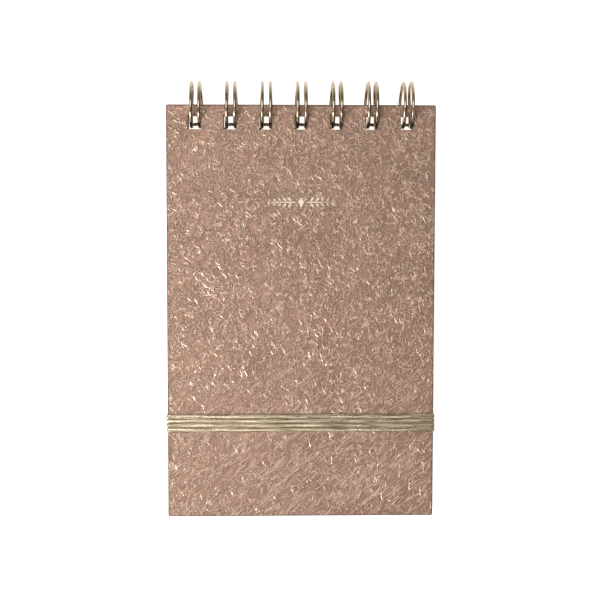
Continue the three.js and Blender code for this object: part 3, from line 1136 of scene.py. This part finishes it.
def clip_sleeve(clip):
    """A flattened tube round the cords, with rounded lips and crimp dents in its outer face."""
    low, high = CLIP_LOW, CLIP_HIGH
    middle = (low + high) / 2
    half = (high - low) / 2
    outline = stepped(
        rounded_outline((-half.y, -half.z), (half.y, half.z), clip.corner, 4), clip.step
    )

    def section(x, inset):
        scale = (1 - inset / half.y, 1 - inset / half.z)
        return [Vector((x, middle.y + y * scale[0], middle.z + z * scale[1])) for y, z in outline]

    lip = clip.wall / 3
    stations = [(low.x, lip), (low.x + lip / 3, lip / 3), (low.x + lip, 0)]
    inner_length = high.x - low.x - 2 * lip
    count = round(inner_length / clip.step)
    stations += [(low.x + lip + inner_length * i / count, 0) for i in range(1, count)]
    stations += [(-x, inset) for x, inset in reversed(stations[:3])]

    dents = [Vector((offset * half.x, middle.y, 0)) for offset in (-0.55, 0, 0.55)]

    def pressed(point):
        """Lowers the outer face into each dent."""
        if point.z > low.z + clip.wall:
            return point
        depth = 0
        for dent in dents:
            away = math.hypot(point.x - dent.x, (point.y - dent.y) / 2.2) / clip.dent_radius
            depth = max(depth, math.cos(min(away, 1) * math.pi) / 2 + 0.5)
        return point + Vector((0, 0, depth * clip.dent))

    work = bmesh.new()
    outer = [[work.verts.new(pressed(p)) for p in section(x, inset)] for x, inset in stations]
    inner = [
        [work.verts.new(p) for p in section(x, clip.wall - inset)] for x, inset in stations
    ]
    for rows in (outer, inner, [outer[0], inner[0]], [outer[-1], inner[-1]]):
        for row, following in zip(rows, rows[1:]):
            for i, vert in enumerate(row):
                j = (i + 1) % len(row)
                work.faces.new((vert, following[i], following[j], row[j]))
    bmesh.ops.recalc_face_normals(work, faces=work.faces)
    return mesh_from("clip", work, smooth=True)


class NOTEBOOK_OT_clip(bpy.types.Operator):
    """Press the metal sleeve that joins the cords behind the back cover"""

    bl_idname = "notebook.clip"
    bl_label = "Band clip"

    def execute(self, context):
        settings = settings_of(context)
        obj = new_object("band_sleeve", clip_sleeve(settings.clip), pressed_metal(settings.colours))
        obj.data.set_sharp_from_angle(angle=math.radians(50))
        claim(obj, "elastic_band", "clip_metal", "band_clip")
        return {"FINISHED"}


def foil_prism(work, outline, low, high):
    """A flat closed shape between two heights. The outline is convex or a thin strip of quads."""
    top = [work.verts.new((x, y, high)) for x, y in outline]
    bottom = [work.verts.new((x, y, low)) for x, y in outline]
    last = len(outline) - 1
    for i in range(len(outline)):
        j = (i + 1) % len(outline)
        work.faces.new((top[i], top[j], bottom[j], bottom[i]))
    for i in range(last // 2):
        if i == last - i - 1:
            break
        for level in (top, bottom):
            quad = dict.fromkeys((level[i], level[i + 1], level[last - i - 1], level[last - i]))
            if len(quad) > 2:
                work.faces.new(tuple(quad))


def stem_shape(start, end, stroke):
    """The outline of a straight stroke that tapers to its far end."""
    steps = 24
    upper, lower = [], []
    for i in range(steps + 1):
        t = i / steps
        half = stroke / 2 * (0.15 + 0.85 * (1 - t) * min(1, 6 * t + 0.3))
        x = start + (end - start) * t
        upper.append(Vector((x, half)))
        lower.append(Vector((x, -half)))
    return upper + lower[::-1]


def leaf_shape(centre, reach, width, turn):
    """The outline of a small pointed leaf."""
    steps = 12
    rim = []
    for i in range(2 * steps):
        t = i / steps if i < steps else 2 - i / steps
        side = 1 if i < steps else -1
        x = reach * (t - 0.5)
        y = side * width / 2 * math.sin(math.pi * t) ** 1.3
        rim.append(Vector((x, y)))
    cos, sin = math.cos(turn), math.sin(turn)
    return [centre + Vector((p.x * cos - p.y * sin, p.x * sin + p.y * cos)) for p in rim]


def dot_shape(centre, radius):
    return [
        centre + radius * Vector((math.cos(math.tau * i / 14), math.sin(math.tau * i / 14)))
        for i in range(14)
    ]


def ornament_shapes(ornament):
    """A flourish: a lozenge in the middle and on each side a sprig of paired leaves."""
    w, h = ornament.width / 2, ornament.height / 2
    shapes = [
        [Vector((0.09 * w, 0)), Vector((0, 0.8 * h)), Vector((-0.09 * w, 0)), Vector((0, -0.8 * h))]
    ]
    pairs = 5
    for side in (1, -1):
        half = [stem_shape(0.15 * w, w, ornament.stroke)]
        for i in range(pairs):
            smaller = 1 - 0.13 * i
            x = (0.27 + 0.155 * i) * w
            for way in (1, -1):
                lean = way * math.radians(52)
                reach = 0.92 * h * smaller
                root = Vector((x, way * 0.14 * h))
                middle = root + Vector((math.cos(lean), math.sin(lean))) * reach / 2
                half.append(leaf_shape(middle, reach, 0.36 * h * smaller, lean))
        half += [dot_shape(Vector((0.14 * w, way * 0.5 * h)), 0.1 * h) for way in (1, -1)]
        shapes += [[Vector((side * p.x, p.y)) for p in shape] for shape in half]
    return shapes


class NOTEBOOK_OT_ornament(bpy.types.Operator):
    """Stamp the foil flourish on the front cover"""

    bl_idname = "notebook.ornament"
    bl_label = "Foil ornament"

    def execute(self, context):
        settings = settings_of(context)
        ornament = settings.ornament
        middle = Vector((0, FRONT_HIGH.y - ornament.drop))
        work = bmesh.new()
        for shape in ornament_shapes(ornament):
            foil_prism(
                work,
                [middle + point for point in shape],
                FRONT_HIGH.z - ornament.foil,
                FRONT_HIGH.z + ornament.foil,
            )
        bmesh.ops.recalc_face_normals(work, faces=work.faces)
        obj = new_object("foil_ornament", mesh_from("ornament", work), stamped_foil(settings.colours))
        claim(obj, "front_cover", "cover_paper")
        return {"FINISHED"}


def soft_light(name, place, aim, size, power):
    """A square soft light that looks at a point."""
    lamp = bpy.data.lights.new(name, "AREA")
    lamp.size = size
    lamp.energy = power
    obj = bpy.data.objects.new(name, lamp)
    bpy.context.scene.collection.objects.link(obj)
    obj.location = place
    obj.rotation_euler = (Vector(aim) - Vector(place)).to_track_quat("-Z", "Y").to_euler()


def floor_mesh():
    """A plane that the wire's lowest point and the clip's far edge both rest on."""
    rise = CLIP_LOW.z / (CLIP_LOW.y - HINGE.y)
    reach = 9  # metres, so that no view shows the floor's edge
    clear = 0.02 * MM
    corners = [(-reach, -reach), (reach, -reach), (reach, reach), (-reach, reach)]
    work = bmesh.new()
    work.faces.new([work.verts.new((x, y, (y - HINGE.y) * rise - clear)) for x, y in corners])
    return mesh_from("floor", work)


def floor_finish(settings):
    tint = settings.colours.floor
    glow = {"Emission_Color": (1, 1, 1, 1), "Emission_Strength": settings.stage.glow}
    made, shader, place = material("pale_floor", Specular_IOR_Level=0.1, Roughness=0.9, **glow)
    cloud = noise(place, 60 * MM, Detail=2.0)
    dress(shader, mix(cloud, shaded(tint, 0.985), tint), cloud, 0.01 * MM, 0.1)
    return made


# Each light's place, the point it looks at, and its size
LIGHTS = {
    "key": ((-0.32, 0.05, 0.8), (0, 0, 0), 0.45),
    "raking": ((-0.33, -0.26, 0.2), (-0.02, 0, 0), 0.14),
    "top": ((0.1, 0.8, 0.3), (0, 0, 0), 0.4),
}
SKY = ((1, 0.99, 0.97), (0.3, 0.26, 0.22))  # its colour on the left and on the right


class NOTEBOOK_OT_stage(bpy.types.Operator):
    """Set the pale floor, the soft lights and the camera"""

    bl_idname = "notebook.stage"
    bl_label = "Stage"

    def execute(self, context):
        settings = settings_of(context)
        stage = settings.stage
        new_object("floor", floor_mesh(), floor_finish(settings))
        for name, (place, aim, size) in LIGHTS.items():
            soft_light(f"{name}_light", place, aim, size, getattr(stage, name))

        world = bpy.data.worlds.new("studio")
        context.scene.world = world
        world.use_nodes = True
        tree = world.node_tree
        around = tree.nodes.new("ShaderNodeTexCoord").outputs["Generated"]
        sky = mix(ramp(split(around)[0], -0.5, 0.5), *SKY)
        background = next(n for n in tree.nodes if n.type == "BACKGROUND")
        feed(background.inputs["Color"], sky)
        background.inputs["Strength"].default_value = stage.sky

        camera = bpy.data.objects.new("camera", bpy.data.cameras.new("camera"))
        context.scene.collection.objects.link(camera)
        camera.data.lens = stage.lens
        camera.data.sensor_width = 36
        camera.location = stage.camera_place
        camera.rotation_euler = stage.camera_turn
        camera.data.clip_start = 0.01
        context.scene.camera = camera
        context.scene.view_settings.view_transform = "Standard"
        return {"FINISHED"}


# ---- Panel, registration and the run ----

OPERATORS = (
    NOTEBOOK_OT_stage,
    NOTEBOOK_OT_wraps,
    NOTEBOOK_OT_fibres,
    NOTEBOOK_OT_boards,
    NOTEBOOK_OT_leaves,
    NOTEBOOK_OT_wire,
    NOTEBOOK_OT_elastic,
    NOTEBOOK_OT_clip,
    NOTEBOOK_OT_ornament,
)


class NOTEBOOK_PT_panel(bpy.types.Panel):
    """The notebook's pieces, one button each"""

    bl_idname = "NOTEBOOK_PT_panel"
    bl_label = "Pocket notebook"
    bl_space_type = "VIEW_3D"
    bl_region_type = "UI"
    bl_category = "Notebook"

    def draw(self, context):
        for operator in OPERATORS:
            self.layout.operator(operator.bl_idname)


CLASSES = (
    CoverSettings,
    FibreSettings,
    LeafSettings,
    WireSettings,
    ElasticSettings,
    ClipSettings,
    OrnamentSettings,
    ColourSettings,
    StageSettings,
    NotebookSettings,
    *OPERATORS,
    NOTEBOOK_PT_panel,
)


def register():
    for item in CLASSES:
        bpy.utils.register_class(item)
    bpy.types.Scene.notebook = bpy.props.PointerProperty(type=NotebookSettings)


def unregister():
    del bpy.types.Scene.notebook
    for item in reversed(CLASSES):
        bpy.utils.unregister_class(item)


def main():
    register()
    bpy.ops.notebook.stage()
    bpy.ops.notebook.wraps()
    bpy.ops.notebook.fibres()
    bpy.ops.notebook.boards()
    bpy.ops.notebook.leaves()
    bpy.ops.notebook.wire()
    bpy.ops.notebook.elastic()
    bpy.ops.notebook.clip()
    bpy.ops.notebook.ornament()


if __name__ == "__main__":
    main()
